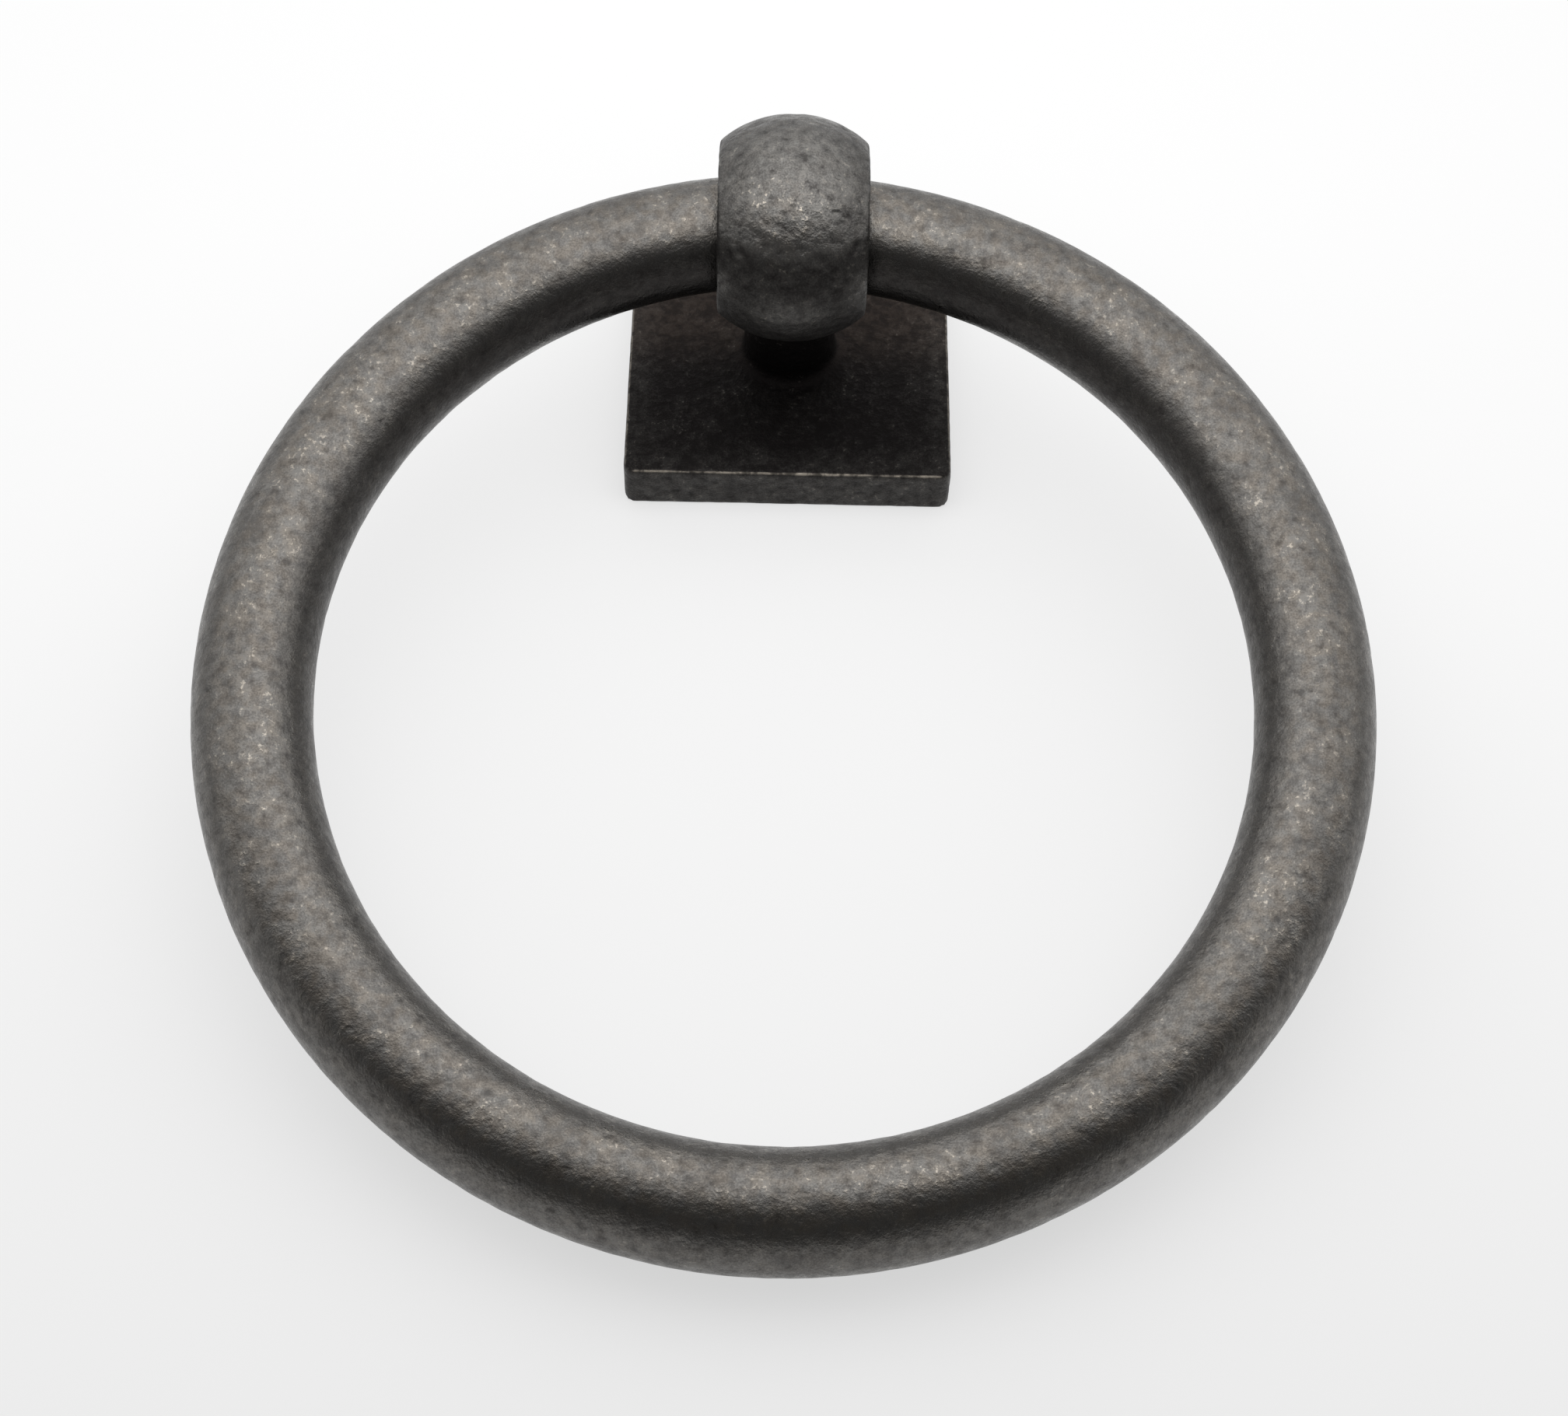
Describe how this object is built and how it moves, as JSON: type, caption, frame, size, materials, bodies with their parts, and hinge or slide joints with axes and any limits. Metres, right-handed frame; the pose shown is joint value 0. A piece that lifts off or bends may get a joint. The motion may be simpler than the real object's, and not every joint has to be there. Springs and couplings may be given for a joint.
{
  "type": "ring pull handle",
  "caption": "Ring pull handle: a closed ring of round bar swings in a bored ball-shaped eye on a short post and square back plate, held from behind by a screw.",
  "frame": {"origin": "centre of the plate's back face, at the mouth of the fixing screw's hole", "axes": "+Z out of the mounting surface, ring lying towards -Y, +X along the bore of the eye"},
  "size_m": [0.078, 0.0849, 0.0247],
  "materials": {
    "aged_iron": "aged dark grey metal, tumbled, mottled, with paler worn edges and dark recesses"
  },
  "bodies": {
    "base": {"base": "aged_iron"},
    "ring": {"ring": "aged_iron"}
  },
  "joints": [
    {"name": "ring_swing", "type": "hinge", "parent": "base", "child": "ring", "pos_m": [0, 0, 0.0164], "axis": [-1, 0, 0], "range_deg": [0, 200.4]}
  ]
}
